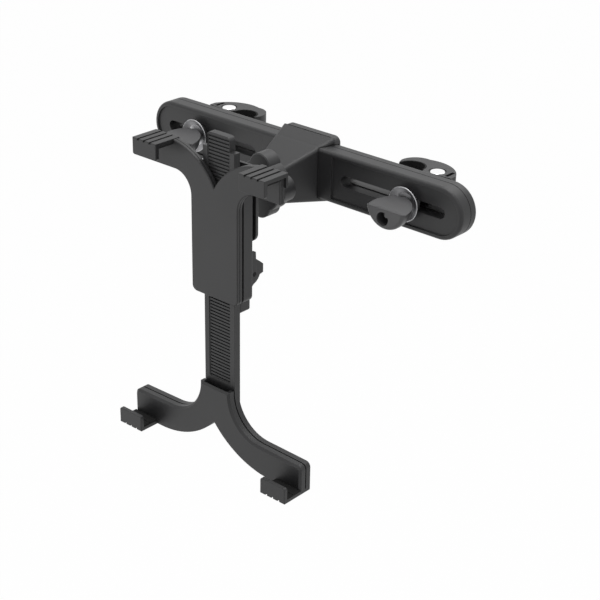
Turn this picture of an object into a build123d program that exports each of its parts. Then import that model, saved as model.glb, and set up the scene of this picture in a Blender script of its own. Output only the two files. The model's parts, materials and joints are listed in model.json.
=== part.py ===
from build123d import *
import os

# Headrest tablet mount, in millimetres.
# X runs along the crossbar, Y points from the seat user towards the headrest,
# Z is up, and the origin is the middle of the bracket cap's back face.

os.makedirs("parts", exist_ok=True)

# Crossbar
bar_length = 261.4
bar_height = 34.0
bar_front_depth = 9.1
bar_back_depth = 6.7
bar_edge_round = 2.2
bar_rim_width = 3.0
bar_recess_depth = 1.2
bar_pad_half_width = 29.5
slot_height = 7.5
slot_back_inset = 0.5
slot_inner_x = 36.5
slot_outer_x = 117.2
bar_screw_end_inset = 7.5
bar_screw_middle_x = 28.0

# Bracket round the middle of the crossbar
cap_wall = 2.5
cap_edge_round = 1.4
bracket_wall = 4.4
bracket_half_width = 22.0
bracket_corner_round = 4.5
bracket_split_depth = 6.2
arm_drop = 3.4
arm_end_half_width = 12.0
arm_end_back = 4.0
arm_edge_round = 2.2
seam_chamfer = 0.35
joint_reach = 28.2
bracket_screw_x = 15.0
bracket_screw_radius = 1.0
bracket_head_radius = 1.75
bracket_head_height = 1.2
bracket_screw_grip = 3.0

# Ball joint
ball_radius = 7.6
liner_wall = 1.2
liner_half_depth = 4.8
socket_wall = 1.8
joint_gap = 0.3
neck_radius = 3.6
stud_reach = 27.7
stud_flange_radius = 8.0
stud_flange = 2.0
ring_back = 4.0
ring_front = 6.6
ring_lobe_radius = 8.7
ring_lobe_offset = 12.8

# Turntable between the ball stud and the tablet holder
plate_half_width = 19.5
plate_thickness = 2.6
plate_above = 24.0
plate_below = 26.0
plate_corner_round = 6.0
turntable_radius = 11.0
turntable_gap = 2.7
turn_face_gap = 0.2
pivot_radius = 4.0
pivot_clearance = 0.08
washer_radius = 6.6
washer_thickness = 1.1
washer_pocket_depth = 2.1
screw_radius = 2.0
screw_head_radius = 3.6
screw_head_height = 1.0

# Tablet holder, upper part
housing_depth = 8.4
housing_groove = 1.6
housing_groove_inset = 1.3
housing_top_z = 12.0
shell_thickness = 2.2
cover_thickness = 1.9
seam_depth = 0.7
seam_width = 0.4
stem_half_width = 19.8
stem_top_round = 14.0
stem_bottom_z = -67.4
stem_corner_round = 4.0
wing_bottom_z = 10.4
wing_top_z = 29.5
wing_end_x = 53.8
vee_radius = 46.0
vee_flat_x = 40.0
cover_edge_chamfer = 0.5

# Tongue of the lower part
tongue_half_width = 13.1
tongue_thickness = 5.0
tongue_clearance = 0.3
tongue_top_z = 39.8
tongue_rise = 55.0
tongue_drop = 60.0
tab_half_width = 9.4
tab_height = 9.6
tab_round = 2.5
rib_band_half_width = 9.2
rib_band_depth = 0.5
rib_pitch = 2.3
rib_depth = 0.9
rib_groove = 0.9
rib_top_margin = 1.4
rib_band_round = 1.2
rib_bottom_z = -126.0

# Lower part of the holder
boss_top_z = -130.5
boss_pocket_depth = 7.0
boss_pocket_wall = 1.3
lower_arm_top_z = -158.4
lower_arm_bottom_z = -179.0
lower_arm_slope = 1.2
lower_arm_end_x = 75.1
lower_arm_corner = 3.5
lower_arch_radius = 66.0
lower_arch_x = 50.0
lower_fillet_radius = 27.0
lower_cover_depth = 4.9
lower_plate_depth = 3.8
lower_groove = 0.9
lower_groove_inset = 1.1
lower_cover_chamfer = 1.4

# Hooks that hold the tablet
tablet_gap = 12.0
hook_lip = 2.7
hook_lip_height = 11.0
hook_wall = 2.4
hook_back_lip = 1.5
hook_back_height = 9.0
hook_width = 20.6
top_hook_inner_x = 34.6
low_hook_inner_x = 54.5
hook_ridges = 4
hook_groove_width = 1.7
hook_groove_depth = 1.3
hook_edge_round = 0.5
hook_corner_round = 1.5
pad_thickness = 1.0
pad_rib = 0.6

# Cam lever with its pin, on the back of the housing
lever_pivot_z = -51.5
lever_pivot_out = 4.1
lever_half_width = 14.6
lever_hub_radius = 8.4
lever_pin_radius = 1.6
pin_clearance = 0.06
lever_side_gap = 0.3
ear_half_width = 17.2
ear_top_z = -35.5
ear_top_out = 5.3
ear_out = 6.2
ear_below = 4.0
ear_foot_z = -61.0

# Release button and pawl below the lever
button_half_width = 12.6
button_travel = 2.0
button_length = 8.0
button_depth = 10.0
button_round = 1.5
button_stem_half_width = 5.0
button_stem_depth = 1.6
pawl_travel = 0.9
pawl_half_width = 5.6
pawl_height = 4.0
pawl_z = -62.5
pawl_thickness = 1.5
slide_gap = 0.3

# Post clamps
post_spacing = 143.0
bolt_offset = 17.6
bolt_radius = 2.0
bolt_clearance = 0.08
bolt_end_y = 17.5
claw_radius = 8.6
claw_pad = 1.0
claw_y = 9.0
claw_back_wall = 7.2
jaw_height = 24.0
jaw_closing = 8.0
jaw_neck_half = 7.0
jaw_outer_x = 13.6
nut_radius = 4.8
nut_ring_gap = 0.5
nut_wall = 2.0
guide_flange = 1.3
guide_flange_radius = 8.5
guide_block_depth = 3.6
slot_clearance = 0.2
neck_clearance = 0.3
cup_radius = 11.2
cup_depth = 2.9
cup_wall = 0.8
cup_seat_radius = 7.4
knob_radius = 14.3
knob_lift = 3.0
knob_length = 20.1
knob_front_land = 4.0
knob_neck_radius = 4.4
knob_neck_length = 7.0
knob_flat_z = 1.2
knob_flat_rise = 3.6
knob_ridge_width = 1.5
knob_ridge_height = 0.5
knob_edge_round = 2.2
knob_hole_radius = 4.3
knob_hole_x = -1.3
knob_hole_z = -4.6
knob_hole_depth = 10.0
knob_key_radius = 1.6
bolt_in_knob = 5.0

# Small screws
small_screw_radius = 1.5
small_head_radius = 2.8
small_head_height = 1.6
holder_screw_radius = 1.2
holder_head_radius = 2.2
holder_head_height = 1.4
lower_screw_x = 34.0
lower_screw_z = -168.5

# Places that follow from the sizes above
bar_back_y = -cap_wall
bar_split_y = bar_back_y - bar_back_depth
bar_front_y = bar_split_y - bar_front_depth
bar_face_y = bar_front_y + bar_recess_depth
bar_round = bar_height / 2
bracket_split_y = -bracket_split_depth
bracket_half_height = bar_round + bracket_wall
ball_y = bar_front_y - joint_reach
ball_z = -arm_drop
liner_inner = ball_radius + joint_gap
liner_radius = liner_inner + liner_wall
socket_radius = liner_radius + joint_gap
socket_outer = socket_radius + socket_wall
ring_bore = socket_outer + joint_gap
ring_back_y = ball_y + ring_back
plate_back_y = ball_y - stud_reach
plate_front_y = plate_back_y - plate_thickness
housing_back_y = plate_front_y - turntable_gap
housing_front_y = housing_back_y - housing_depth
shell_back_y = housing_front_y - housing_groove
shell_front_y = shell_back_y - shell_thickness
cover_front_y = shell_front_y - cover_thickness
tongue_front_y = shell_back_y + tongue_clearance
tongue_back_y = tongue_front_y + tongue_thickness
channel_back_y = tongue_back_y + tongue_clearance
channel_half_width = tongue_half_width + tongue_clearance
lower_plate_back_y = tongue_front_y + lower_plate_depth
lower_cover_front_y = tongue_front_y - lower_groove - lower_cover_depth
clamp_x = post_spacing / 2 + bolt_offset


def finish(part, name):
    part.label = name
    export_step(part, "parts/" + name + ".step")


# Crossbar front shell: a stadium plate with a rim, a raised middle and two slots
slot_length = slot_outer_x - slot_inner_x
slot_middle_x = (slot_outer_x + slot_inner_x) / 2
bar_screw_x = [bar_length / 2 - bar_screw_end_inset, bar_screw_middle_x]
bar_screw_places = [(x * side, 0) for x in bar_screw_x for side in (-1, 1)]
with BuildPart() as bar_front:
    with BuildSketch(Plane.XZ.offset(-bar_split_y)):
        SlotOverall(bar_length, bar_height)
    extrude(amount=bar_front_depth)
    fillet(bar_front.faces().sort_by(Axis.Y)[0].edges(), radius=bar_edge_round)
    with BuildSketch(Plane.XZ.offset(-bar_front_y)):
        SlotOverall(bar_length - 2 * bar_rim_width, bar_height - 2 * bar_rim_width)
        Rectangle(2 * bar_pad_half_width, bar_height, mode=Mode.SUBTRACT)
    extrude(amount=-bar_recess_depth, mode=Mode.SUBTRACT)
    with BuildSketch(Plane.XZ.offset(-bar_split_y)):
        with Locations((slot_middle_x, 0), (-slot_middle_x, 0)):
            SlotOverall(slot_length, slot_height)
    extrude(amount=bar_front_depth, mode=Mode.SUBTRACT)
    with BuildSketch(Plane.XZ.offset(-bar_split_y)):
        with Locations(*bar_screw_places):
            Circle(small_screw_radius)
    extrude(amount=bar_front_depth / 2, mode=Mode.SUBTRACT)
finish(bar_front.part, "crossbar_front_shell")

# Crossbar back shell, screwed to the front shell from behind
with BuildPart() as bar_back:
    with BuildSketch(Plane.XZ.offset(-bar_back_y)):
        SlotOverall(bar_length, bar_height)
    extrude(amount=bar_back_depth)
    fillet(bar_back.faces().sort_by(Axis.Y)[-1].edges(), radius=bar_edge_round)
    chamfer(bar_back.faces().sort_by(Axis.Y)[0].edges(), length=seam_chamfer)
    with BuildSketch(Plane.XZ.offset(-bar_back_y)):
        with Locations((slot_middle_x, 0), (-slot_middle_x, 0)):
            SlotOverall(slot_length, slot_height - 2 * slot_back_inset)
    extrude(amount=bar_back_depth, mode=Mode.SUBTRACT)
    with BuildSketch(Plane.XZ.offset(-bar_back_y)):
        with Locations(*bar_screw_places):
            Circle(small_head_radius)
    extrude(amount=small_head_height, mode=Mode.SUBTRACT)
    with BuildSketch(Plane.XZ.offset(-bar_back_y)):
        with Locations(*bar_screw_places):
            Circle(small_screw_radius)
    extrude(amount=bar_back_depth, mode=Mode.SUBTRACT)
finish(bar_back.part, "crossbar_back_shell")

# Screws that close the crossbar, all alike
with BuildPart() as bar_screws:
    with BuildSketch(Plane.XZ.offset(-bar_back_y)):
        with Locations(*bar_screw_places):
            Circle(small_head_radius)
    extrude(amount=small_head_height)
    with BuildSketch(Plane.XZ.offset(-bar_back_y + small_head_height)):
        with Locations(*bar_screw_places):
            Circle(small_screw_radius)
    extrude(amount=bar_back_depth - small_head_height + bar_front_depth / 2)
finish(bar_screws.part, "crossbar_screws")

# Bracket cap: the back half of the ring round the crossbar
bracket_screw_z = bar_round + bracket_head_radius
bracket_screw_end = bracket_split_depth + bracket_screw_grip
bracket_screw_places = [(-bracket_screw_x, bracket_screw_z), (bracket_screw_x, bracket_screw_z),
                        (-bracket_screw_x, -bracket_screw_z), (bracket_screw_x, -bracket_screw_z)]
with BuildPart() as bracket_cap:
    with BuildSketch(Plane.XZ):
        RectangleRounded(2 * bracket_half_width, 2 * bracket_half_height, bracket_corner_round)
    extrude(amount=bracket_split_depth)
    fillet(bracket_cap.faces().sort_by(Axis.Y)[-1].edges(), radius=cap_edge_round)
    chamfer(bracket_cap.faces().sort_by(Axis.Y)[0].edges(), length=seam_chamfer)
    with BuildSketch(Plane.XZ.offset(-bar_back_y)):
        Rectangle(4 * bracket_half_width, bar_height)
    extrude(amount=bracket_split_depth, mode=Mode.SUBTRACT)
    with BuildSketch(Plane.XZ):
        with Locations(*bracket_screw_places):
            Circle(bracket_head_radius)
    extrude(amount=bracket_head_height, mode=Mode.SUBTRACT)
    with BuildSketch(Plane.XZ):
        with Locations(*bracket_screw_places):
            Circle(bracket_screw_radius)
    extrude(amount=bracket_split_depth, mode=Mode.SUBTRACT)
finish(bracket_cap.part, "bracket_cap")

# Bracket arm: the front half of the ring, tapering down to the ball socket
arm_end_y = ball_y + arm_end_back
with BuildPart() as bracket_arm:
    with BuildSketch(Plane.XZ.offset(-bracket_split_y)):
        Rectangle(2 * bracket_half_width, 2 * bracket_half_height)
    with BuildSketch(Plane.XZ.offset(-arm_end_y)):
        with Locations((0, ball_z)):
            Rectangle(2 * arm_end_half_width, 2 * arm_end_half_width)
    loft()
    slanted = bracket_arm.edges().filter_by(lambda e: e.center().Y < bracket_split_y - 1
                                            and e.center().Y > arm_end_y + 1)
    fillet(slanted, radius=arm_edge_round)
    with BuildSketch(Plane.XZ.offset(-arm_end_y)):
        with Locations((0, ball_z)):
            Circle(socket_outer)
    extrude(amount=arm_end_back + joint_gap)
    with Locations((0, ball_y, ball_z)):
        Sphere(socket_radius, mode=Mode.SUBTRACT)
    with BuildSketch(Plane.YZ):
        with Locations((bar_front_y + bar_height / 2, 0)):
            RectangleRounded(bar_height, bar_height, bar_edge_round)
    extrude(amount=2 * bracket_half_width, both=True, mode=Mode.SUBTRACT)
    with BuildSketch(Plane.XZ.offset(-bracket_split_y)):
        with Locations(*bracket_screw_places):
            Circle(bracket_screw_radius)
    extrude(amount=bracket_screw_grip, mode=Mode.SUBTRACT)
finish(bracket_arm.part, "bracket_arm")

# Screws of the bracket
with BuildPart() as bracket_screws:
    with BuildSketch(Plane.XZ):
        with Locations(*bracket_screw_places):
            Circle(bracket_head_radius)
    extrude(amount=bracket_head_height)
    with BuildSketch(Plane.XZ):
        with Locations(*bracket_screw_places):
            Circle(bracket_screw_radius)
    extrude(amount=bracket_screw_end)
finish(bracket_screws.part, "bracket_screws")

# Lock ring: a four-lobed nut that closes the socket round the ball
with BuildPart() as lock_ring:
    with BuildSketch(Plane.XZ.offset(-ring_back_y)):
        with Locations((0, ball_z)):
            Circle(ring_lobe_offset + ring_lobe_radius / 2)
            with PolarLocations(ring_lobe_offset, 4):
                Circle(ring_lobe_radius)
    extrude(amount=ring_back + ring_front)
    chamfer(lock_ring.faces().sort_by(Axis.Y)[0].edges(), length=0.8)
    with BuildSketch(Plane.XZ.offset(-ring_back_y)):
        with Locations((0, ball_z)):
            Circle(ring_bore)
    extrude(amount=ring_back + 2 * joint_gap, mode=Mode.SUBTRACT)
    with Locations((0, ball_y, ball_z)):
        Sphere(socket_radius, mode=Mode.SUBTRACT)
finish(lock_ring.part, "lock_ring")

# Liner: a spherical ring that turns with the ball inside the socket
with BuildPart() as ball_liner:
    with BuildSketch(Plane.XY.offset(ball_z)):
        with Locations((0, ball_y)):
            Circle(liner_radius)
            Circle(liner_inner, mode=Mode.SUBTRACT)
            Rectangle(4 * liner_radius, 2 * liner_half_depth, mode=Mode.INTERSECT)
        with Locations((-liner_radius, ball_y)):
            Rectangle(2 * liner_radius, 4 * liner_radius, mode=Mode.SUBTRACT)
    revolve(axis=Axis((0, ball_y, ball_z), (0, 1, 0)))
finish(ball_liner.part, "ball_liner")

# Ball stud: ball, neck and flange turned in one piece
with BuildPart() as ball_stud:
    with Locations((0, ball_y, ball_z)):
        Sphere(ball_radius)
    with BuildSketch(Plane.XZ.offset(-ball_y)):
        with Locations((0, ball_z)):
            Circle(neck_radius)
    extrude(amount=stud_reach - stud_flange)
    with BuildSketch(Plane.XZ.offset(-plate_back_y - stud_flange)):
        with Locations((0, ball_z)):
            Circle(stud_flange_radius)
    extrude(amount=stud_flange)
    with BuildSketch(Plane.XZ.offset(-plate_back_y)):
        with Locations((0, ball_z)):
            Circle(screw_radius)
    extrude(amount=-stud_reach / 2, mode=Mode.SUBTRACT)
finish(ball_stud.part, "ball_stud")

# Turn plate: the rounded plate behind the holder, with its pivot
with BuildPart() as turn_plate:
    with BuildSketch(Plane.XZ.offset(-plate_back_y)):
        with Locations((0, ball_z + (plate_above - plate_below) / 2)):
            RectangleRounded(2 * plate_half_width, plate_above + plate_below, plate_corner_round)
    extrude(amount=plate_thickness)
    fillet(turn_plate.faces().sort_by(Axis.Y)[-1].edges(), radius=0.8)
    with BuildSketch(Plane.XZ.offset(-plate_front_y)):
        with Locations((0, ball_z)):
            Circle(pivot_radius)
    extrude(amount=turntable_gap + housing_depth - tongue_thickness + housing_groove
            - tongue_clearance * 2 - washer_pocket_depth + turn_face_gap)
    with BuildSketch(Plane.XZ.offset(-plate_back_y)):
        with Locations((0, ball_z)):
            Circle(screw_radius)
    extrude(amount=plate_thickness + turntable_gap + housing_depth, mode=Mode.SUBTRACT)
finish(turn_plate.part, "turn_plate")
washer_back_y = turn_plate.faces().sort_by(Axis.Y)[0].center().Y

# Washer and screw that hold the turn plate's pivot in the housing
with BuildPart() as pivot_washer:
    with BuildSketch(Plane.XZ.offset(-washer_back_y)):
        with Locations((0, ball_z)):
            Circle(washer_radius)
            Circle(screw_radius, mode=Mode.SUBTRACT)
    extrude(amount=washer_thickness)
    with BuildSketch(Plane.XZ.offset(-washer_back_y + washer_thickness)):
        with Locations((0, ball_z)):
            Circle(screw_head_radius)
    extrude(amount=-screw_head_height / 2, mode=Mode.SUBTRACT)
finish(pivot_washer.part, "pivot_washer")
with BuildPart() as pivot_screw:
    with BuildSketch(Plane.XZ.offset(-washer_back_y + washer_thickness - screw_head_height / 2)):
        with Locations((0, ball_z)):
            Circle(screw_head_radius)
    extrude(amount=screw_head_height / 2)
    with BuildSketch(Plane.XZ.offset(-washer_back_y + washer_thickness - screw_head_height / 2)):
        with Locations((0, ball_z)):
            Circle(screw_radius)
    extrude(amount=-stud_reach / 2)
finish(pivot_screw.part, "pivot_screw")


# Front outline of the upper holder: a stem with two arms and a vee between them
def upper_outline(y, inset=0):
    vee_centre_z = wing_top_z - vee_radius
    vee_bottom = vee_centre_z + (vee_radius ** 2 - vee_flat_x ** 2) ** 0.5
    vee_mid_z = vee_centre_z + (vee_radius ** 2 - (vee_flat_x / 2) ** 2) ** 0.5
    with BuildSketch(Plane.XZ.offset(-y)) as outline:
        with BuildLine():
            ThreePointArc((0, vee_bottom), (vee_flat_x / 2, vee_mid_z), (vee_flat_x, wing_top_z))
            Polyline((vee_flat_x, wing_top_z), (wing_end_x, wing_top_z), (wing_end_x, wing_bottom_z),
                     (stem_half_width, wing_bottom_z), (stem_half_width, stem_bottom_z),
                     (0, stem_bottom_z), (0, vee_bottom))
        make_face()
        neck = outline.vertices().group_by(Axis.X)[1].sort_by(Axis.Y)
        fillet(neck[-1], radius=stem_top_round)
        foot = outline.vertices().sort_by(Axis.Y)[0:2].sort_by(Axis.X)[-1]
        fillet(foot, radius=stem_corner_round)
        mirror(about=Plane.YZ)
        with Locations((top_hook_inner_x + hook_width / 2, wing_top_z),
                       (-top_hook_inner_x - hook_width / 2, wing_top_z)):
            Rectangle(hook_width, 2 * hook_wall, mode=Mode.SUBTRACT)
        if inset:
            offset(amount=-inset)
    return outline.sketch


# Housing: the box behind the stem, with the tongue's channel and the lever's ears
pivot_z = lever_pivot_z
lever_y = housing_back_y + lever_pivot_out
stem_height = housing_top_z - stem_bottom_z
stem_middle_z = (housing_top_z + stem_bottom_z) / 2
pawl_y = tongue_back_y + slide_gap
pocket_back_y = pawl_y + pawl_thickness + pawl_travel + slide_gap
stem_y = pawl_y + button_stem_depth / 2
holder_screw_x = (channel_half_width + stem_half_width) / 2
holder_screw_z = [housing_top_z - stem_corner_round, stem_bottom_z + stem_corner_round]
holder_screw_places = [(x, z) for x in (-holder_screw_x, holder_screw_x) for z in holder_screw_z]
with BuildPart() as housing:
    with BuildSketch(Plane.XZ.offset(-housing_back_y)):
        with Locations((0, stem_middle_z)):
            RectangleRounded(2 * stem_half_width, stem_height, stem_corner_round)
    extrude(amount=housing_depth)
    fillet(housing.faces().sort_by(Axis.Y)[-1].edges(), radius=1.2)
    with BuildSketch(Plane.XZ.offset(-housing_front_y)):
        with Locations((0, stem_middle_z)):
            Rectangle(2 * (stem_half_width - housing_groove_inset), stem_height - 2 * stem_corner_round)
    extrude(amount=housing_groove)
    with BuildSketch(Plane.XZ.offset(-plate_front_y + turn_face_gap)):
        with Locations((0, ball_z)):
            Circle(turntable_radius)
    extrude(amount=turntable_gap)
    with BuildSketch(Plane.YZ):
        with BuildLine():
            Polyline((housing_back_y - 1, ear_top_z), (housing_back_y, ear_top_z),
                     (housing_back_y + ear_top_out, ear_top_z - 1),
                     (housing_back_y + ear_out, pivot_z - ear_below),
                     (housing_back_y, ear_foot_z), (housing_back_y - 1, ear_foot_z), close=True)
        make_face()
    extrude(amount=ear_half_width, both=True)
    with BuildSketch(Plane.XZ.offset(-housing_back_y - ear_out)):
        with Locations((0, pivot_z)):
            Rectangle(2 * (lever_half_width + lever_side_gap), stem_height)
    extrude(amount=ear_out, mode=Mode.SUBTRACT)
    with BuildSketch(Plane.YZ.offset(-lever_half_width - lever_side_gap)):
        with Locations((lever_y, pivot_z)):
            Circle(lever_hub_radius + tongue_clearance)
    extrude(amount=2 * (lever_half_width + lever_side_gap), mode=Mode.SUBTRACT)
    with BuildSketch(Plane.YZ.offset(-ear_half_width)):
        with Locations((lever_y, pivot_z)):
            Circle(lever_pin_radius)
    extrude(amount=2 * ear_half_width, mode=Mode.SUBTRACT)
    with BuildSketch(Plane.XZ.offset(-channel_back_y)):
        with Locations((0, stem_middle_z)):
            Rectangle(2 * channel_half_width, 2 * stem_height)
    extrude(amount=housing_depth, mode=Mode.SUBTRACT)
    with BuildSketch(Plane.XZ.offset(-plate_front_y)):
        with Locations((0, ball_z)):
            Circle(pivot_radius + pivot_clearance)
    extrude(amount=housing_depth + turntable_gap, mode=Mode.SUBTRACT)
    with BuildSketch(Plane.XZ.offset(-channel_back_y - washer_pocket_depth)):
        with Locations((0, ball_z)):
            Circle(washer_radius + 2 * slide_gap)
    extrude(amount=washer_pocket_depth, mode=Mode.SUBTRACT)
    with BuildSketch(Plane.XZ.offset(-pocket_back_y)):
        with Locations((0, pawl_z)):
            Rectangle(2 * (pawl_half_width + slide_gap), pawl_height + 2 * slide_gap)
    extrude(amount=housing_depth / 2, mode=Mode.SUBTRACT)
    with BuildSketch(Plane.XY.offset(stem_bottom_z)):
        with Locations((0, stem_y)):
            Rectangle(2 * (button_stem_half_width + slide_gap), button_stem_depth + 2 * slide_gap)
    extrude(amount=pawl_z - stem_bottom_z, mode=Mode.SUBTRACT)
    with BuildSketch(Plane.XZ.offset(-housing_back_y)):
        with Locations(*holder_screw_places):
            Circle(holder_head_radius)
    extrude(amount=holder_head_height, mode=Mode.SUBTRACT)
    with BuildSketch(Plane.XZ.offset(-housing_back_y)):
        with Locations(*holder_screw_places):
            Circle(holder_screw_radius)
    extrude(amount=housing_depth + housing_groove, mode=Mode.SUBTRACT)
finish(housing.part, "holder_housing")

# Screws from the housing into the shell and the cover
with BuildPart() as holder_screws:
    with BuildSketch(Plane.XZ.offset(-housing_back_y)):
        with Locations(*holder_screw_places):
            Circle(holder_head_radius)
    extrude(amount=holder_head_height)
    with BuildSketch(Plane.XZ.offset(-housing_back_y)):
        with Locations(*holder_screw_places):
            Circle(holder_screw_radius)
    extrude(amount=housing_depth + housing_groove + shell_thickness + cover_thickness / 2)
finish(holder_screws.part, "holder_screws")

# Shell and front cover of the upper holder, with a shadow line between them
with BuildPart() as holder_shell:
    extrude(upper_outline(shell_back_y), amount=shell_thickness - seam_width)
    extrude(upper_outline(shell_front_y + seam_width, seam_depth), amount=seam_width)
    with BuildSketch(Plane.XZ.offset(-shell_back_y)):
        with Locations(*holder_screw_places):
            Circle(holder_screw_radius)
    extrude(amount=shell_thickness, mode=Mode.SUBTRACT)
finish(holder_shell.part, "holder_shell")
with BuildPart() as holder_cover:
    extrude(upper_outline(shell_front_y), amount=cover_thickness)
    chamfer(holder_cover.faces().sort_by(Axis.Y)[0].edges(), length=cover_edge_chamfer)
    with BuildSketch(Plane.XZ.offset(-shell_front_y)):
        with Locations(*holder_screw_places):
            Circle(holder_screw_radius)
    extrude(amount=cover_thickness / 2, mode=Mode.SUBTRACT)
finish(holder_cover.part, "holder_cover")

# Tongue and back plate of the lower part, ribbed in front and grooved behind for the pawl
def lower_outline(y, top_z, inset=0):
    arch_centre_z = lower_arm_bottom_z + lower_arch_radius
    arch_top = arch_centre_z - (lower_arch_radius ** 2 - lower_arch_x ** 2) ** 0.5
    arch_mid_x = lower_arch_x / 2
    arch_mid_z = arch_centre_z - (lower_arch_radius ** 2 - arch_mid_x ** 2) ** 0.5
    end_bottom_z = lower_arm_bottom_z - hook_edge_round + hook_wall
    with BuildSketch(Plane.XZ.offset(-y)) as outline:
        with BuildLine():
            ThreePointArc((0, arch_top), (arch_mid_x, arch_mid_z), (lower_arch_x, lower_arm_bottom_z))
            Polyline((lower_arch_x, lower_arm_bottom_z), (low_hook_inner_x, lower_arm_bottom_z),
                     (low_hook_inner_x, end_bottom_z), (lower_arm_end_x, end_bottom_z),
                     (lower_arm_end_x, lower_arm_top_z - lower_arm_slope),
                     (tongue_half_width, lower_arm_top_z),
                     (tongue_half_width, top_z), (0, top_z), (0, arch_top))
        make_face()
        ends = outline.vertices().group_by(Axis.X)[-1].sort_by(Axis.Y)[-1]
        fillet(ends, radius=lower_arm_corner)
        inner = outline.vertices().filter_by(lambda v: abs(v.Y - lower_arm_top_z) < 0.01)
        fillet(inner, radius=lower_fillet_radius)
        mirror(about=Plane.YZ)
        if inset:
            offset(amount=-inset)
    return outline.sketch


rib_count = int((tongue_top_z - rib_top_margin - rib_bottom_z) / rib_pitch) + 1
rib_middle_z = rib_bottom_z + rib_pitch * (rib_count - 1) / 2
band_top_z = tongue_top_z - rib_top_margin
band_height = band_top_z - rib_bottom_z + rib_pitch / 2
ratchet_first = int((pawl_z - tongue_rise - rib_bottom_z) / rib_pitch)
ratchet_last = int((pawl_z + tongue_drop - rib_bottom_z) / rib_pitch) + 1
ratchet_count = ratchet_last - ratchet_first + 1
ratchet_middle_z = rib_bottom_z + rib_pitch * (ratchet_first + ratchet_last) / 2
lower_screw_places = [(-lower_screw_x, lower_screw_z), (lower_screw_x, lower_screw_z)]
with BuildPart() as tongue:
    extrude(lower_outline(lower_plate_back_y, boss_top_z), amount=lower_plate_depth)
    with BuildSketch(Plane.XZ.offset(-tongue_back_y)):
        with BuildLine():
            Polyline((-tongue_half_width, lower_arm_top_z), (tongue_half_width, lower_arm_top_z),
                     (tongue_half_width, tongue_top_z - tab_height),
                     (tab_half_width, tongue_top_z - tab_height), (tab_half_width, tongue_top_z),
                     (-tab_half_width, tongue_top_z), (-tab_half_width, tongue_top_z - tab_height),
                     (-tongue_half_width, tongue_top_z - tab_height), close=True)
        make_face()
        fillet(vertices().group_by(Axis.Y)[-1], radius=tab_round)
    extrude(amount=tongue_thickness)
    with BuildSketch(Plane.XZ.offset(-tongue_front_y)):
        with Locations((0, band_top_z - band_height / 2)):
            RectangleRounded(2 * rib_band_half_width, band_height, rib_band_round)
    extrude(amount=-rib_band_depth, mode=Mode.SUBTRACT)
    with BuildSketch(Plane.YZ):
        with Locations((tongue_front_y + rib_band_depth, rib_middle_z)):
            with GridLocations(0, rib_pitch, 1, rib_count):
                Rectangle(2 * rib_depth, rib_groove)
        with Locations((tongue_back_y, ratchet_middle_z)):
            with GridLocations(0, rib_pitch, 1, ratchet_count):
                Rectangle(2 * rib_depth, rib_groove)
    extrude(amount=rib_band_half_width - rib_band_round / 2, both=True, mode=Mode.SUBTRACT)
    with BuildSketch(Plane.XZ.offset(-lower_plate_back_y)):
        with Locations(*lower_screw_places):
            Circle(holder_head_radius)
    extrude(amount=holder_head_height, mode=Mode.SUBTRACT)
    with BuildSketch(Plane.XZ.offset(-lower_plate_back_y)):
        with Locations(*lower_screw_places):
            Circle(holder_screw_radius)
    extrude(amount=lower_plate_depth, mode=Mode.SUBTRACT)
finish(tongue.part, "tongue_plate")

# Screws from the tongue plate into the lower cover
with BuildPart() as lower_screws:
    with BuildSketch(Plane.XZ.offset(-lower_plate_back_y)):
        with Locations(*lower_screw_places):
            Circle(holder_head_radius)
    extrude(amount=holder_head_height)
    with BuildSketch(Plane.XZ.offset(-lower_plate_back_y)):
        with Locations(*lower_screw_places):
            Circle(holder_screw_radius)
    extrude(amount=lower_plate_depth + lower_groove + lower_cover_depth / 2)
finish(lower_screws.part, "lower_screws")

# Front cover of the lower part, with the dark pocket where the tongue comes out
with BuildPart() as lower_cover:
    extrude(lower_outline(tongue_front_y - lower_groove, boss_top_z), amount=lower_cover_depth)
    front_edges = lower_cover.faces().sort_by(Axis.Y)[0].edges()
    chamfer(front_edges.filter_by(lambda e: e.center().Z > lower_arm_top_z - lower_arm_corner),
            length=lower_cover_chamfer)
    extrude(lower_outline(tongue_front_y, boss_top_z, lower_groove_inset), amount=lower_groove)
    with BuildSketch(Plane.XY.offset(boss_top_z)):
        with Locations((0, (tongue_front_y + lower_cover_front_y + lower_cover_chamfer) / 2)):
            Rectangle(2 * (tongue_half_width - 2 * boss_pocket_wall),
                      tongue_front_y - lower_cover_front_y - lower_cover_chamfer)
    extrude(amount=-boss_pocket_depth, mode=Mode.SUBTRACT)
    with BuildSketch(Plane.XZ.offset(-tongue_front_y)):
        with Locations(*lower_screw_places):
            Circle(holder_screw_radius)
    extrude(amount=lower_groove + lower_cover_depth / 2, mode=Mode.SUBTRACT)
finish(lower_cover.part, "lower_cover")


# Hook profile in the YZ plane: a lip and a wall with the tablet against it
def hook_profile(inner_x, front_y, back_y, edge_z, up):
    lip_y = front_y - tablet_gap
    with BuildSketch(Plane.YZ.offset(inner_x)) as profile:
        with BuildLine():
            Polyline((lip_y - hook_lip, edge_z), (back_y, edge_z), (back_y, edge_z - up * hook_wall),
                     (lip_y, edge_z - up * hook_wall), (lip_y, edge_z - up * hook_lip_height),
                     (lip_y - hook_lip, edge_z - up * hook_lip_height), close=True)
        make_face()
    return profile.sketch


# Lip that reaches down behind the upper arms
def back_lip(inner_x, back_y, edge_z):
    with BuildSketch(Plane.YZ.offset(inner_x)) as lip:
        with Locations((back_y, edge_z)):
            Rectangle(hook_back_lip, hook_back_height, align=(Align.MIN, Align.MAX))
    return lip.sketch


def hook_grooves(inner_x, edge_z):
    with BuildSketch(Plane.XZ) as grooves:
        with Locations((inner_x + hook_width / 2, edge_z)):
            with GridLocations(hook_width / hook_ridges, 0, hook_ridges - 1, 1):
                Rectangle(hook_groove_width, 2 * hook_groove_depth)
    return grooves.sketch


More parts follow.
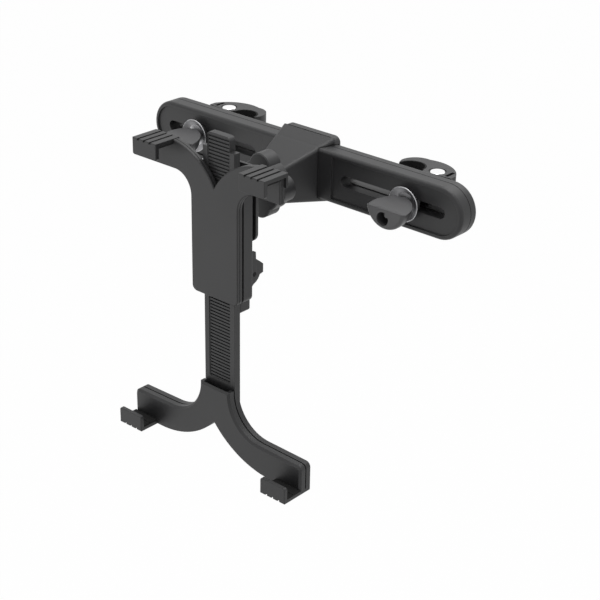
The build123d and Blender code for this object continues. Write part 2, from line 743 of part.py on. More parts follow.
top_back_y = shell_back_y
top_front_y = cover_front_y
low_back_y = lower_plate_back_y
low_front_y = lower_cover_front_y
low_edge_z = lower_arm_bottom_z - hook_edge_round
for side, word in ((1, "right"), (-1, "left")):
    top_inner = top_hook_inner_x if side > 0 else -top_hook_inner_x - hook_width
    low_inner = low_hook_inner_x if side > 0 else -low_hook_inner_x - hook_width
    with BuildPart() as top_hook:
        extrude(hook_profile(top_inner, top_front_y, top_back_y, wing_top_z, 1), amount=hook_width)
        fillet(top_hook.edges().filter_by(Axis.Y).group_by(Axis.Z)[0], radius=hook_corner_round)
        fillet(top_hook.faces().sort_by(Axis.Y)[0].edges(), radius=hook_edge_round)
        extrude(back_lip(top_inner, top_back_y, wing_top_z), amount=hook_width)
        extrude(hook_grooves(top_inner, wing_top_z), amount=-2 * low_front_y, mode=Mode.SUBTRACT)
    finish(top_hook.part, "top_hook_" + word)
    with BuildPart() as low_hook:
        extrude(hook_profile(low_inner, low_front_y, low_back_y, low_edge_z, -1), amount=hook_width)
        fillet(low_hook.edges().filter_by(Axis.Y).group_by(Axis.Z)[-1], radius=hook_corner_round)
        fillet(low_hook.faces().sort_by(Axis.Y)[0].edges(), radius=hook_edge_round)
        extrude(hook_grooves(low_inner, low_edge_z), amount=-2 * low_front_y, mode=Mode.SUBTRACT)
    finish(low_hook.part, "bottom_hook_" + word)
    with BuildPart() as top_pad:
        with BuildSketch(Plane.YZ.offset(top_inner)):
            with Locations((top_front_y - tablet_gap / 2, wing_top_z - hook_wall - pad_thickness / 2)):
                Rectangle(tablet_gap, pad_thickness)
        extrude(amount=hook_width)
    finish(top_pad.part, "top_pad_" + word)
    with BuildPart() as low_pad:
        with BuildSketch(Plane.YZ.offset(low_inner)):
            with Locations((low_front_y - tablet_gap / 2, low_edge_z + hook_wall + pad_thickness / 2)):
                Rectangle(tablet_gap, pad_thickness)
            with Locations((low_front_y - tablet_gap / 2, low_edge_z + hook_wall + pad_thickness)):
                Circle(pad_rib)
        extrude(amount=hook_width)
    finish(low_pad.part, "bottom_pad_" + word)

# Cam lever: a round hub in the housing's slot with a thumb tab behind it
with BuildPart() as cam_lever:
    with BuildSketch(Plane.YZ.offset(-lever_half_width)):
        with Locations((lever_y, pivot_z)):
            Circle(lever_hub_radius)
        with BuildLine():
            Polyline((lever_y + 1, pivot_z + 4), (lever_y + 3, pivot_z + lever_hub_radius + 1),
                     (lever_y + 8, pivot_z + 5.6), (lever_y + 10.8, pivot_z + 3.2),
                     (lever_y + 10.8, pivot_z - 2.6), (lever_y + 8, pivot_z - 3.2),
                     (lever_y + 1, pivot_z - 3), close=True)
        make_face()
    extrude(amount=2 * lever_half_width)
    with BuildSketch(Plane.YZ.offset(-lever_half_width)):
        with Locations((lever_y, pivot_z)):
            Circle(lever_pin_radius + pin_clearance)
    extrude(amount=2 * lever_half_width, mode=Mode.SUBTRACT)
finish(cam_lever.part, "cam_lever")
with BuildPart() as lever_pin:
    with BuildSketch(Plane.YZ.offset(-ear_half_width)):
        with Locations((lever_y, pivot_z)):
            Circle(lever_pin_radius)
    extrude(amount=2 * ear_half_width)
finish(lever_pin.part, "lever_pin")

# Pawl that drops into the tongue's ribs
with BuildPart() as pawl:
    with BuildSketch(Plane.XZ.offset(-pawl_y - pawl_thickness)):
        with Locations((0, pawl_z)):
            Rectangle(2 * pawl_half_width, pawl_height)
    extrude(amount=pawl_thickness)
finish(pawl.part, "pawl")

# Release button under the housing
button_top_z = stem_bottom_z - button_travel - slide_gap
button_y = stem_y + button_depth / 2 - button_stem_depth / 2
with BuildPart() as button:
    with BuildSketch(Plane.XY.offset(button_top_z - button_length)):
        with Locations((0, button_y)):
            RectangleRounded(2 * button_half_width, button_depth, button_round)
    extrude(amount=button_length)
    fillet(button.faces().sort_by(Axis.Z)[0].edges(), radius=0.9 * button_round)
    with BuildSketch(Plane.XY.offset(button_top_z)):
        with Locations((0, stem_y)):
            Rectangle(2 * button_stem_half_width, button_stem_depth)
    extrude(amount=pawl_z - pawl_height / 2 - slide_gap - button_travel - button_top_z)
finish(button.part, "release_button")

# Post clamps, one on each side
near_y = bar_back_y + jaw_closing + 2 * slot_clearance
nut_y = near_y + nut_radius + nut_wall
claw_outer = claw_radius + claw_pad + claw_back_wall
claw_seat = claw_radius + claw_pad
slot_half = slot_height / 2 - slot_clearance
neck_front_y = bar_face_y + guide_block_depth + jaw_closing + 2 * slot_clearance
knob_back_y = bar_face_y - guide_flange - slot_clearance
knob_seat_y = knob_back_y - cup_wall
knob_front_y = knob_seat_y - knob_length
knob_middle_y = knob_front_y + knob_front_land
for side, word in ((1, "right"), (-1, "left")):
    axis_x = side * clamp_x
    post_x = side * post_spacing / 2

    # Jaw: a claw round the headrest post, bored for the bolt and its barrel nut
    with BuildPart() as jaw:
        with BuildSketch(Plane.XY.offset(-jaw_height / 2)):
            with BuildLine():
                Polyline((post_x + side * claw_seat, claw_y), (axis_x - side * jaw_neck_half, near_y),
                         (axis_x + side * jaw_outer_x, near_y + nut_wall),
                         (axis_x + side * jaw_outer_x, nut_y))
                ThreePointArc((axis_x + side * jaw_outer_x, nut_y),
                              (axis_x + side * jaw_outer_x / 2, nut_y + nut_radius + 2 * nut_wall),
                              (post_x + side * nut_wall, claw_y + claw_outer))
                ThreePointArc((post_x + side * nut_wall, claw_y + claw_outer),
                              (post_x - side * claw_radius, claw_y + claw_outer - 2 * nut_wall),
                              (post_x - side * (claw_seat + 1.6), claw_y + claw_radius / 2))
                Polyline((post_x - side * (claw_seat + 1.6), claw_y + claw_radius / 2),
                         (post_x - side * claw_seat, claw_y), (post_x + side * claw_seat, claw_y))
            make_face()
            with Locations((post_x, claw_y)):
                Circle(claw_seat, mode=Mode.SUBTRACT)
        extrude(amount=jaw_height)
        with BuildSketch(Plane.XZ.offset(-near_y - nut_wall)):
            with Locations((axis_x, 0)):
                Rectangle(2 * jaw_neck_half, slot_height - 2 * slot_back_inset - 2 * neck_clearance)
        extrude(amount=near_y + nut_wall - neck_front_y)
        with BuildSketch(Plane.XY.offset(-jaw_height / 2)):
            with Locations((axis_x, nut_y)):
                Circle(nut_radius + slot_clearance)
        extrude(amount=jaw_height, mode=Mode.SUBTRACT)
        with BuildSketch(Plane.XY.offset(jaw_height / 2)):
            with Locations((axis_x, nut_y)):
                Circle(nut_radius + slot_clearance + nut_ring_gap)
        extrude(amount=-nut_ring_gap, mode=Mode.SUBTRACT)
        with BuildSketch(Plane.XY.offset(-jaw_height / 2)):
            with Locations((axis_x + side * (jaw_outer_x - 4.6), nut_y + 0.5)):
                Rectangle(2.4, 8.0)
        extrude(amount=jaw_height, mode=Mode.SUBTRACT)
        with BuildSketch(Plane.XZ.offset(-claw_y - claw_outer)):
            with Locations((axis_x, 0)):
                Circle(bolt_radius + bolt_clearance)
        extrude(amount=2 * claw_outer, mode=Mode.SUBTRACT)
    finish(jaw.part, "clamp_jaw_" + word)

    # Rubber lining of the claw
    with BuildPart() as claw_lining:
        with BuildSketch(Plane.XY.offset(-jaw_height / 2)):
            with Locations((post_x, claw_y)):
                Circle(claw_seat)
                Circle(claw_radius, mode=Mode.SUBTRACT)
            with Locations((post_x, claw_y - claw_seat)):
                Rectangle(4 * claw_seat, 2 * claw_seat, mode=Mode.SUBTRACT)
        extrude(amount=jaw_height)
    finish(claw_lining.part, "claw_lining_" + word)

    # Barrel nut standing in the jaw
    with BuildPart() as nut:
        with BuildSketch(Plane.XY.offset(-jaw_height / 2)):
            with Locations((axis_x, nut_y)):
                Circle(nut_radius)
        extrude(amount=jaw_height)
        chamfer(nut.edges().filter_by(GeomType.CIRCLE), length=0.4)
        with BuildSketch(Plane.XZ.offset(-nut_y - nut_radius)):
            with Locations((axis_x, 0)):
                Circle(bolt_radius + bolt_clearance)
        extrude(amount=2 * nut_radius, mode=Mode.SUBTRACT)
    finish(nut.part, "barrel_nut_" + word)

    # Guide that rides in the slot, under the knob
    with BuildPart() as guide:
        with BuildSketch(Plane.XZ.offset(-bar_face_y)):
            with Locations((axis_x, 0)):
                Circle(guide_flange_radius)
        extrude(amount=guide_flange)
        with BuildSketch(Plane.XZ.offset(-bar_face_y)):
            with Locations((axis_x, 0)):
                Rectangle(2 * jaw_neck_half, 2 * slot_half)
        extrude(amount=-guide_block_depth)
        with BuildSketch(Plane.XZ.offset(-bar_face_y + guide_flange)):
            with Locations((axis_x, 0)):
                Circle(bolt_radius + bolt_clearance)
        extrude(amount=-guide_flange - guide_block_depth, mode=Mode.SUBTRACT)
    finish(guide.part, "slot_guide_" + word)

    # Bolt from the knob to the barrel nut
    with BuildPart() as bolt:
        with BuildSketch(Plane.XZ.offset(-bolt_end_y)):
            with Locations((axis_x, 0)):
                Circle(bolt_radius)
        extrude(amount=bolt_end_y - knob_seat_y + bolt_in_knob)
        chamfer(bolt.faces().sort_by(Axis.Y)[-1].edges(), length=0.6)
    finish(bolt.part, "clamp_bolt_" + word)

    # Cupped washer under the knob, turned from sheet steel
    with BuildPart() as cup:
        with BuildSketch(Plane.XY):
            with BuildLine():
                Polyline((axis_x + bolt_radius, knob_back_y), (axis_x + cup_seat_radius, knob_back_y),
                         (axis_x + cup_radius, knob_back_y - cup_depth),
                         (axis_x + cup_radius - cup_wall / 2, knob_back_y - cup_depth - cup_wall / 2),
                         (axis_x + cup_seat_radius - cup_wall / 2, knob_seat_y),
                         (axis_x + bolt_radius, knob_seat_y), close=True)
            make_face()
        revolve(axis=Axis((axis_x, 0, 0), (0, 1, 0)))
    finish(cup.part, "cup_washer_" + word)

    # Knob: a neck and a domed grip with one sloping flat for the thumb, edged by a low ridge
    with BuildPart() as knob:
        with BuildSketch(Plane.XY.offset(knob_lift)):
            with BuildLine():
                Line((axis_x, knob_front_y), (axis_x, knob_middle_y + knob_radius))
                CenterArc((axis_x, knob_middle_y), knob_radius, 0, 90)
                Polyline((axis_x + knob_radius, knob_middle_y), (axis_x + knob_radius, knob_front_y),
                         (axis_x, knob_front_y))
            make_face()
        revolve(axis=Axis((axis_x, 0, knob_lift), (0, 1, 0)))
        fillet(knob.faces().sort_by(Axis.Y)[0].edges(), radius=knob_edge_round)
        with BuildSketch(Plane.XZ.offset(-knob_seat_y)):
            with Locations((axis_x, 0)):
                Circle(knob_neck_radius)
        extrude(amount=knob_neck_length)
        with BuildSketch(Plane.YZ.offset(axis_x)):
            with BuildLine():
                Polyline((knob_front_y - 1, knob_flat_z + knob_ridge_height),
                         (knob_front_y + knob_ridge_width, knob_flat_z + knob_ridge_height),
                         (knob_front_y + knob_ridge_width + knob_ridge_height, knob_flat_z),
                         (knob_seat_y, knob_flat_z + knob_flat_rise),
                         (knob_seat_y, knob_radius + 2 * knob_lift),
                         (knob_front_y - 1, knob_radius + 2 * knob_lift), close=True)
            make_face()
        extrude(amount=2 * knob_radius, both=True, mode=Mode.SUBTRACT)
        with BuildSketch(Plane.XZ.offset(-knob_front_y)):
            with Locations((axis_x + side * knob_hole_x, knob_hole_z)):
                Circle(knob_hole_radius)
                with PolarLocations(knob_hole_radius, 1, start_angle=45):
                    Circle(knob_key_radius, mode=Mode.SUBTRACT)
        extrude(amount=-knob_hole_depth, mode=Mode.SUBTRACT)
        with BuildSketch(Plane.XZ.offset(-knob_seat_y)):
            with Locations((axis_x, 0)):
                Circle(bolt_radius)
        extrude(amount=bolt_in_knob, mode=Mode.SUBTRACT)
    finish(knob.part, "clamp_knob_" + word)
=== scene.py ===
import bmesh
import bpy
import json
import math
from mathutils import Matrix, Vector


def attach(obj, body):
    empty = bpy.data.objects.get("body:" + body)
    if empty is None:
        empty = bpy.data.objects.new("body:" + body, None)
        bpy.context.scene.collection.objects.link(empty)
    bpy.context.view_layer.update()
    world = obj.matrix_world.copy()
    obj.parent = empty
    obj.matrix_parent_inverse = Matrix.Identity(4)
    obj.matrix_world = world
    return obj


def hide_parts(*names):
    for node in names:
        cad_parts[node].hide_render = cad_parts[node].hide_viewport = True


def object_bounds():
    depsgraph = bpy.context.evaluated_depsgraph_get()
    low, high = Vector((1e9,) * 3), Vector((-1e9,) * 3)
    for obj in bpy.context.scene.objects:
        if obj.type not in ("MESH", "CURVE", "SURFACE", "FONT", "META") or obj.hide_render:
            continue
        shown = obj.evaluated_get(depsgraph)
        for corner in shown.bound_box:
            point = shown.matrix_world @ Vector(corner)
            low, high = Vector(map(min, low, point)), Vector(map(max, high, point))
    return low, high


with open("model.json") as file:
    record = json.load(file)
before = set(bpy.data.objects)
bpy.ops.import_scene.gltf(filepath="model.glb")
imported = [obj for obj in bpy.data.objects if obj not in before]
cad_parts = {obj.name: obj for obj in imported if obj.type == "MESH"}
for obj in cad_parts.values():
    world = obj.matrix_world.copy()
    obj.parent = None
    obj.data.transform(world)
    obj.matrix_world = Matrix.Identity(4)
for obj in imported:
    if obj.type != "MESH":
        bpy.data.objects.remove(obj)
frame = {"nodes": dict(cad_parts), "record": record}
solidsLow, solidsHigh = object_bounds()
nodes = frame["nodes"]
print("frame loaded:", len(nodes), "nodes")

# Sizes below are in millimetres where their name ends in Mm or their note says so
mmPerMetre = 1000
# A bump is a quarter as high as its grain is wide
grainPerHeight = 4
weldDistance = 1e-7


# Colours are written as sRGB hex and turned to linear here
def hexToLinear(code):
    channels = [int(code[i:i + 2], 16) / 255 for i in (1, 3, 5)]
    linear = (c / 12.92 if c <= 0.04045 else ((c + 0.055) / 1.055) ** 2.4 for c in channels)
    return tuple(linear) + (1.0,)


# Adds one node to a tree, with its settings, its input values and its links
def addNode(tree, kind, settings=None, values=None, links=None):
    node = tree.nodes.new(kind)
    for name, value in (settings or {}).items():
        setattr(node, name, value)
    for name, value in (values or {}).items():
        node.inputs[name].default_value = value
    for name, source in (links or {}).items():
        tree.links.new(source, node.inputs[name])
    return node


# A material with its Principled shader, still without a pattern
def startMaterial(name, values):
    material = bpy.data.materials.new(name)
    material.use_nodes = True
    tree = material.node_tree
    tree.nodes.clear()
    shader = addNode(tree, "ShaderNodeBsdfPrincipled", values=values)
    addNode(tree, "ShaderNodeOutputMaterial", links={"Surface": shader.outputs["BSDF"]})
    place = addNode(tree, "ShaderNodeTexCoord")
    return material, tree, shader, place


# Noise in object coordinates, with its features the given number of millimetres wide
def addNoise(tree, place, widthMm, detail):
    return addNode(tree, "ShaderNodeTexNoise",
                   values={"Scale": mmPerMetre / widthMm, "Detail": detail},
                   links={"Vector": place.outputs["Object"]})


# Roughness that follows a noise between two values
def linkRoughness(tree, shader, noise, look):
    rough = addNode(tree, "ShaderNodeMapRange",
                    values={"To Min": look["roughLow"], "To Max": look["roughHigh"]},
                    links={"Value": noise.outputs["Fac"]})
    tree.links.new(rough.outputs["Result"], shader.inputs["Roughness"])


# Rounded edges with a fine relief on top
def linkNormal(tree, shader, noise, samples, edgeMm, strength, widthMm):
    edge = addNode(tree, "ShaderNodeBevel", {"samples": samples},
                   {"Radius": edgeMm / mmPerMetre})
    bump = addNode(tree, "ShaderNodeBump",
                   values={"Strength": strength,
                           "Distance": widthMm / (grainPerHeight * mmPerMetre)},
                   links={"Height": noise.outputs["Fac"], "Normal": edge.outputs["Normal"]})
    tree.links.new(bump.outputs["Normal"], shader.inputs["Normal"])


# Moulded ABS, spark-eroded mould: a dark grey that scatters light softly, with a fine even grain
def mouldedPlastic(name, look):
    material, tree, shader, place = startMaterial(name, {"IOR": look["ior"], "Metallic": 0.0})
    cloud = addNoise(tree, place, look["cloudMm"], 3.0)
    tone = addNode(tree, "ShaderNodeMix", {"data_type": "RGBA"})
    # The mix node has sockets for each data type: 0 is the factor, 6 and 7 are its two colours
    tree.links.new(cloud.outputs["Fac"], tone.inputs[0])
    tone.inputs[6].default_value = hexToLinear(look["dark"])
    tone.inputs[7].default_value = hexToLinear(look["light"])
    tree.links.new(tone.outputs[2], shader.inputs["Base Color"])
    linkRoughness(tree, shader, cloud, look)
    grain = addNoise(tree, place, look["grainMm"], 1.0)
    linkNormal(tree, shader, grain, 6, look["edgeMm"], look["grainStrength"], look["grainMm"])
    return material


# Plated or blacked steel: a metal whose roughness and relief vary slightly, as turning leaves it
def turnedSteel(name, look):
    material, tree, shader, place = startMaterial(name, {
        "Base Color": hexToLinear(look["colour"]), "Metallic": 1.0})
    marks = addNoise(tree, place, look["markMm"], 2.0)
    linkRoughness(tree, shader, marks, look)
    linkNormal(tree, shader, marks, 4, look["edgeMm"], look["bump"], look["markMm"])
    return material


bodyLook = {"dark": "#252526", "light": "#29292a", "ior": 1.48, "roughLow": 0.44, "roughHigh": 0.5,
            "cloudMm": 22.0, "grainMm": 0.6, "grainStrength": 0.04, "edgeMm": 0.4}
# The bracket's arm has softer edges than the other mouldings
softEdgeLook = {**bodyLook, "edgeMm": 1.7}
knobLook = {"dark": "#4c4c4d", "light": "#525253", "ior": 1.5, "roughLow": 0.36, "roughHigh": 0.42,
            "cloudMm": 14.0, "grainMm": 0.6, "grainStrength": 0.03, "edgeMm": 0.6}
# Acetal, smooth where the ball turns in it
linerLook = {"dark": "#1b1b1c", "light": "#1f1f20", "ior": 1.48, "roughLow": 0.20,
             "roughHigh": 0.28, "cloudMm": 10.0, "grainMm": 0.8, "grainStrength": 0.03,
             "edgeMm": 0.3}
# Pressed rubber: nearly black and matt
rubberLook = {"dark": "#0e0e0e", "light": "#131313", "ior": 1.4, "roughLow": 0.85,
              "roughHigh": 0.95, "cloudMm": 8.0, "grainMm": 0.9, "grainStrength": 0.1,
              "edgeMm": 0.3}
brightLook = {"colour": "#c6c6c7", "roughLow": 0.3, "roughHigh": 0.36, "markMm": 4.0,
              "edgeMm": 0.3, "bump": 0.02}
screwLook = {"colour": "#8f8f91", "roughLow": 0.36, "roughHigh": 0.46, "markMm": 2.0,
             "edgeMm": 0.2, "bump": 0.05}
cupLook = {"colour": "#b2b2b4", "roughLow": 0.34, "roughHigh": 0.42, "markMm": 4.0,
           "edgeMm": 0.5, "bump": 0.02}
pinLook = {"colour": "#fafafa", "roughLow": 0.12, "roughHigh": 0.16, "markMm": 6.0,
           "edgeMm": 0.25, "bump": 0.0}
blackSteelLook = {"colour": "#202021", "roughLow": 0.4, "roughHigh": 0.5, "markMm": 2.0,
                  "edgeMm": 0.2, "bump": 0.05}

finishes = {
    "moulded_plastic": mouldedPlastic("mouldedAbs", bodyLook),
    "knob_plastic": mouldedPlastic("smoothAbs", knobLook),
    "liner_plastic": mouldedPlastic("polishedAcetal", linerLook),
    "rubber_grip": mouldedPlastic("pressedRubber", rubberLook),
    "bright_steel": turnedSteel("platedSteel", brightLook),
    "screw_steel": turnedSteel("zincSteel", screwLook),
}
# Nodes with a finish of their own
ownFinish = {"lever_pin": turnedSteel("blackedSteel", blackSteelLook),
             "bracket_arm": mouldedPlastic("mouldedAbsSoftEdge", softEdgeLook)}
for side in ("right", "left"):
    ownFinish["barrel_nut_" + side] = turnedSteel("nickelledSteel", pinLook)
    ownFinish["cup_washer_" + side] = turnedSteel("brushedSteel", cupLook)
slotOf = {entry["node"]: entry["material_slot"] for entry in frame["record"]["subparts"]}
for name, obj in nodes.items():
    finish = ownFinish.get(name, finishes[slotOf[name]])
    for materialSlot in obj.material_slots:
        materialSlot.material = finish
    if not obj.material_slots:
        obj.data.materials.append(finish)
print("finishes set:", len(finishes))


# Makes a finished object from a bmesh and sets it to move with a body
def finishPiece(name, shape, material, body):
    bmesh.ops.recalc_face_normals(shape, faces=shape.faces)
    mesh = bpy.data.meshes.new(name)
    shape.to_mesh(mesh)
    shape.free()
    mesh.materials.append(material)
    piece = bpy.data.objects.new(name, mesh)
    bpy.context.scene.collection.objects.link(piece)
    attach(piece, body)
    return piece


# What all screws share: angles are in degrees, crownWithin and levelWithin in metres
screwMaking = {"sides": 32, "recessTaper": 0.55, "innerShare": 0.9, "crownSegments": 2,
               "levelWithin": 1e-6, "crownWithin": 1e-5, "firstTurn": 25, "turnStep": 40}


# A screw that stands along Z with its head on top: a cross recess, a head and a shank
def screwShape(size):
    shape = bmesh.new()
    arm = size["recessArm"] / mmPerMetre
    half = size["recessWidth"] / (2 * mmPerMetre)
    headRadius = size["headRadius"] / mmPerMetre
    bmesh.ops.create_grid(shape, x_segments=3, y_segments=3, size=arm)
    for vert in shape.verts:
        for axis in (0, 1):
            if abs(vert.co[axis]) < screwMaking["innerShare"] * arm:
                vert.co[axis] = math.copysign(half, vert.co[axis])
    corners = [f for f in shape.faces
               if min(abs(c) for c in f.calc_center_median()[:2]) > half]
    bmesh.ops.delete(shape, geom=corners, context="FACES")
    rim = [e for e in shape.edges if e.is_boundary]
    cross = list(shape.faces)
    sunk = bmesh.ops.extrude_face_region(shape, geom=cross)["geom"]
    floorVerts = [v for v in sunk if isinstance(v, bmesh.types.BMVert)]
    taper = screwMaking["recessTaper"]
    bmesh.ops.scale(shape, verts=floorVerts, vec=(taper, taper, 1.0))
    bmesh.ops.translate(shape, verts=floorVerts, vec=(0, 0, -size["recessDepth"] / mmPerMetre))
    bmesh.ops.delete(shape, geom=[f for f in cross if f.is_valid], context="FACES_ONLY")
    ring = bmesh.ops.create_circle(shape, segments=screwMaking["sides"], radius=headRadius)["verts"]
    loop = list({e for v in ring for e in v.link_edges})
    bmesh.ops.triangle_fill(shape, use_beauty=True, edges=rim + loop, normal=(0, 0, 1))
    # The loop goes down the head, in to the shank and down to its end
    for radius, depth in ((size["headRadius"], size["headHeight"]),
                          (size["shankRadius"], size["headHeight"]),
                          (size["shankRadius"], size["length"])):
        first = loop[0].verts[0].co
        now, deep = first.xy.length, first.z
        grown = bmesh.ops.extrude_edge_only(shape, edges=loop)["geom"]
        loop = [e for e in grown if isinstance(e, bmesh.types.BMEdge) and e not in loop
                and all(v in grown for v in e.verts)]
        verts = [v for v in grown if isinstance(v, bmesh.types.BMVert)]
        share = radius / mmPerMetre / now
        bmesh.ops.scale(shape, verts=verts, vec=(share, share, 1.0))
        bmesh.ops.translate(shape, verts=verts, vec=(0, 0, -depth / mmPerMetre - deep))
    bmesh.ops.edgeloop_fill(shape, edges=loop)
    bmesh.ops.remove_doubles(shape, verts=shape.verts, dist=weldDistance)
    crown = [e for e in shape.edges
             if all(abs(v.co.z) < screwMaking["levelWithin"]
                    and abs(v.co.xy.length - headRadius) < screwMaking["crownWithin"]
                    for v in e.verts)]
    bmesh.ops.bevel(shape, geom=crown, offset=size["crownRound"] / mmPerMetre,
                    offset_type="OFFSET", segments=screwMaking["crownSegments"],
                    profile=0.5, affect="EDGES", material=-1)
    return shape


# Places of a set of screws, mirrored in X and given for each height Z
def bothSides(halfX, heights):
    return [(x, z) for x in (-halfX, halfX) for z in heights]


# Screws seen from behind, in millimetres: their heads stand at headY and face the seat back
screwSets = {
    "crossbar_screws": {
        "body": "mount_base", "headY": -2.5,
        "places": [(x, 0.0) for x in (-123.2, -28.0, 28.0, 123.2)],
        "headRadius": 2.8, "headHeight": 1.6, "shankRadius": 1.5, "length": 11.25,
        "recessArm": 1.5, "recessWidth": 0.7, "recessDepth": 1.0, "crownRound": 0.3},
    "bracket_screws": {
        "body": "mount_base", "headY": 0.0, "places": bothSides(15.0, (-18.75, 18.75)),
        "headRadius": 1.75, "headHeight": 1.4, "shankRadius": 1.5, "length": 9.2,
        "recessArm": 1.1, "recessWidth": 0.55, "recessDepth": 0.8, "crownRound": 0.15},
    "holder_screws": {
        "body": "holder_body", "headY": -79.5, "places": bothSides(16.6, (-63.4, 8.0)),
        "headRadius": 2.2, "headHeight": 1.4, "shankRadius": 1.2, "length": 13.15,
        "recessArm": 1.25, "recessWidth": 0.6, "recessDepth": 0.9, "crownRound": 0.25},
    "lower_screws": {
        "body": "lower_body", "headY": -85.4, "places": bothSides(34.0, (-168.5,)),
        "headRadius": 2.2, "headHeight": 1.4, "shankRadius": 1.2, "length": 7.15,
        "recessArm": 1.25, "recessWidth": 0.6, "recessDepth": 0.9, "crownRound": 0.25},
}
faceBack = Matrix.Rotation(math.radians(-90), 3, "X")
for name, size in screwSets.items():
    one = screwShape(size)
    bmesh.ops.rotate(one, verts=one.verts, matrix=faceBack)
    template = bpy.data.meshes.new(name + "One")
    one.to_mesh(template)
    one.free()
    every = bmesh.new()
    for number, (x, z) in enumerate(size["places"]):
        before = len(every.verts)
        every.from_mesh(template)
        every.verts.ensure_lookup_table()
        added = every.verts[before:]
        # Each screw stopped at an angle of its own
        angle = math.radians(screwMaking["firstTurn"] + screwMaking["turnStep"] * number)
        bmesh.ops.rotate(every, verts=added, matrix=Matrix.Rotation(angle, 3, "Y"))
        bmesh.ops.translate(every, verts=added, vec=(
            x / mmPerMetre, size["headY"] / mmPerMetre, z / mmPerMetre))
    bpy.data.meshes.remove(template)
    piece = finishPiece(name + "Recessed", every, finishes["screw_steel"], size["body"])
    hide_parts(name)
print("screws made:", len(screwSets))

# Painted shade in the seams where two shells meet: each a thin near-black ring at the bottom of the
# seam stands in for the shadow in the gap
seamShadeLook = {"dark": "#050505", "light": "#070707", "ior": 1.3, "roughLow": 0.9, "roughHigh": 0.95,
            "cloudMm": 8.0, "grainMm": 0.6, "grainStrength": 0.0, "edgeMm": 0.1}
# A near-black matt material that paints the shade in the seams
seamShadeMaterial = mouldedPlastic("seamShadow", seamShadeLook)
seamCornerSegments = 16
# Sizes in millimetres
seams = {
    "barSeam": {"halfWidth": 130.71, "halfHeight": 17.03, "corner": 17.0, "frontY": -9.35,
                "width": 0.45, "deep": 0.8},
    "bracketSeam": {"halfWidth": 22.03, "halfHeight": 21.43, "corner": 4.5, "frontY": -6.35,
                    "width": 0.4, "deep": 0.6},
}
for name, size in seams.items():
    shape = bmesh.new()
    bmesh.ops.create_grid(shape, x_segments=1, y_segments=1, size=1.0)
    bmesh.ops.scale(shape, verts=shape.verts, vec=(
        size["halfWidth"] / mmPerMetre, size["halfHeight"] / mmPerMetre, 1.0))
    bmesh.ops.bevel(shape, geom=shape.verts, offset=size["corner"] / mmPerMetre,
                    offset_type="OFFSET", segments=seamCornerSegments, profile=0.5,
                    affect="VERTICES", material=-1)
    bmesh.ops.remove_doubles(shape, verts=shape.verts, dist=weldDistance)
    middle = list(shape.faces)
    # A lone face is inset only if its boundary counts
    bmesh.ops.inset_region(shape, faces=middle, thickness=size["deep"] / mmPerMetre,
                           use_even_offset=True, use_boundary=True)
    bmesh.ops.delete(shape, geom=middle, context="FACES")
    grown = bmesh.ops.extrude_face_region(shape, geom=list(shape.faces))["geom"]
    bmesh.ops.translate(shape, verts=[v for v in grown if isinstance(v, bmesh.types.BMVert)],
                        vec=(0, 0, size["width"] / mmPerMetre))
    bmesh.ops.rotate(shape, verts=shape.verts, matrix=faceBack)
    bmesh.ops.translate(shape, verts=shape.verts, vec=(0, size["frontY"] / mmPerMetre, 0))
    finishPiece(name, shape, seamShadeMaterial, "mount_base")
print("seams made:", len(seams))

# Floor and backdrop, far below, because the mount hangs on headrest posts; sizes in metres
studio = {"floorDrop": 0.62, "floorHalf": 6.0, "floorColour": "#ececec", "floorWhite": 0.985,
          "worldColour": "#ffffff", "worldStrength": 0.34, "worldWhite": 1.0}
floorMesh = bpy.data.meshes.new("floor")
floorZ = solidsLow.z - studio["floorDrop"]
half = studio["floorHalf"]
floorMesh.from_pydata([(-half, -half, floorZ), (half, -half, floorZ),
                       (half, half, floorZ), (-half, half, floorZ)], [], [(0, 1, 2, 3)])
floor = bpy.data.objects.new("floor", floorMesh)
bpy.context.scene.collection.objects.link(floor)


# Share of white that camera, mirror and glass rays see, so the background stays white
def whiteShare(tree, share):
    rays = addNode(tree, "ShaderNodeLightPath")
    seen = addNode(tree, "ShaderNodeMath", {"operation": "ADD"})
    tree.links.new(rays.outputs["Is Camera Ray"], seen.inputs[0])
    tree.links.new(rays.outputs["Is Transmission Ray"], seen.inputs[1])
    shown = addNode(tree, "ShaderNodeMath", {"operation": "ADD"})
    tree.links.new(seen.outputs[0], shown.inputs[0])
    tree.links.new(rays.outputs["Is Glossy Ray"], shown.inputs[1])
    scaled = addNode(tree, "ShaderNodeMath", {"operation": "MULTIPLY", "use_clamp": True})
    tree.links.new(shown.outputs[0], scaled.inputs[0])
    scaled.inputs[1].default_value = share
    return scaled.outputs[0]


# Sends a shader that lights the object, and plain white for the rays named above, to the output
def linkWhite(tree, share, lit, white, outputKind):
    mix = addNode(tree, "ShaderNodeMixShader")
    tree.links.new(whiteShare(tree, share), mix.inputs[0])
    tree.links.new(lit.outputs[0], mix.inputs[1])
    tree.links.new(white.outputs[0], mix.inputs[2])
    addNode(tree, outputKind, links={"Surface": mix.outputs[0]})


plainWhite = {"Color": (1, 1, 1, 1), "Strength": 1.0}
paper = bpy.data.materials.new("paperFloor")
paper.use_nodes = True
paperTree = paper.node_tree
paperTree.nodes.clear()
linkWhite(paperTree, studio["floorWhite"],
          addNode(paperTree, "ShaderNodeBsdfDiffuse",
                  values={"Color": hexToLinear(studio["floorColour"])}),
          addNode(paperTree, "ShaderNodeEmission", values=plainWhite),
          "ShaderNodeOutputMaterial")
floorMesh.materials.append(paper)

world = bpy.data.worlds.new("studioWorld")
bpy.context.scene.world = world
world.use_nodes = True
worldTree = world.node_tree
worldTree.nodes.clear()
linkWhite(worldTree, studio["worldWhite"],
          addNode(worldTree, "ShaderNodeBackground",
                  values={"Color": hexToLinear(studio["worldColour"]),
                          "Strength": studio["worldStrength"]}),
          addNode(worldTree, "ShaderNodeBackground", values=plainWhite),
          "ShaderNodeOutputWorld")

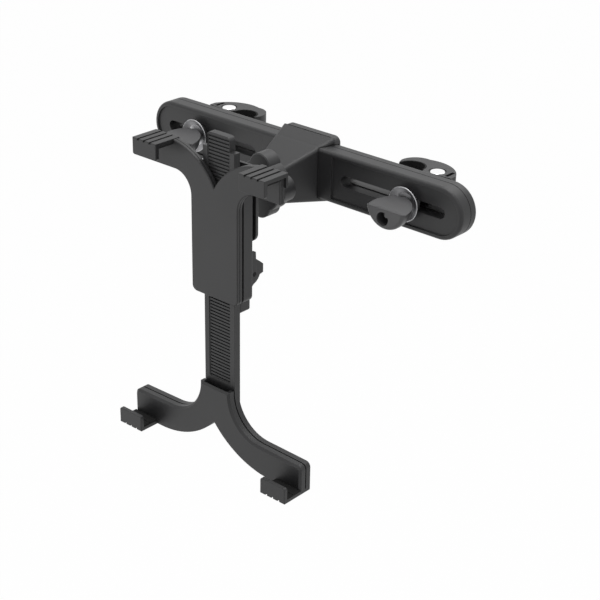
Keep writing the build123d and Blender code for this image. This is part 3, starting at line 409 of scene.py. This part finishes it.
# Soft boxes: one straight above, one above and behind, one low in front, one small for the edges
lampAim = Vector((0, -0.05, -0.06))
lamps = {
    "topBox": {"place": (0.0, -0.1, 1.5), "size": 1.1, "watts": 13.5},
    "backBox": {"place": (0.0, 0.9, 1.1), "size": 1.0, "watts": 5.1},
    "lowBox": {"place": (-0.94, -1.14, -0.7), "size": 0.9, "watts": 2.5},
    "edgeBox": {"place": (1.15, -0.48, 0.8), "size": 0.35, "watts": 1.2},
}
for name, lamp in lamps.items():
    light = bpy.data.lights.new(name, "AREA")
    light.shape = "SQUARE"
    light.size = lamp["size"]
    light.energy = lamp["watts"]
    holder = bpy.data.objects.new(name, light)
    holder.location = lamp["place"]
    towards = lampAim - Vector(lamp["place"])
    holder.rotation_euler = towards.to_track_quat("-Z", "Y").to_euler()
    bpy.context.scene.collection.objects.link(holder)
print("studio set")

# Camera at the photograph's angle, fitted to points on the crossbar and the holder:
# angles are in degrees, lens and sensor in millimetres, the rest in metres
shot = {"target": (-0.00291, -0.0085, -0.09931), "azimuth": 40.96, "elevation": 25.74,
        "roll": 1.09, "distance": 1.00238, "lens": 88.95, "sensor": 36.0,
        "clipStart": 0.01, "clipEnd": 40.0}
azimuth, elevation, roll = (math.radians(shot[key]) for key in ("azimuth", "elevation", "roll"))
back = Vector((math.sin(azimuth) * math.cos(elevation),
               -math.cos(azimuth) * math.cos(elevation), math.sin(elevation)))
right = (-back).cross(Vector((0, 0, 1))).normalized()
up = right.cross(-back)
turnedRight = right * math.cos(roll) + up * math.sin(roll)
turnedUp = up * math.cos(roll) - right * math.sin(roll)
cameraData = bpy.data.cameras.new("photoCamera")
cameraData.lens = shot["lens"]
cameraData.sensor_width = shot["sensor"]
cameraData.clip_start = shot["clipStart"]
cameraData.clip_end = shot["clipEnd"]
camera = bpy.data.objects.new("photoCamera", cameraData)
turn = Matrix((turnedRight, turnedUp, back)).transposed().to_4x4()
camera.matrix_world = Matrix.Translation(Vector(shot["target"]) + back * shot["distance"]) @ turn
bpy.context.scene.collection.objects.link(camera)
bpy.context.scene.camera = camera
bpy.context.scene.view_settings.view_transform = "Standard"
print("camera set")
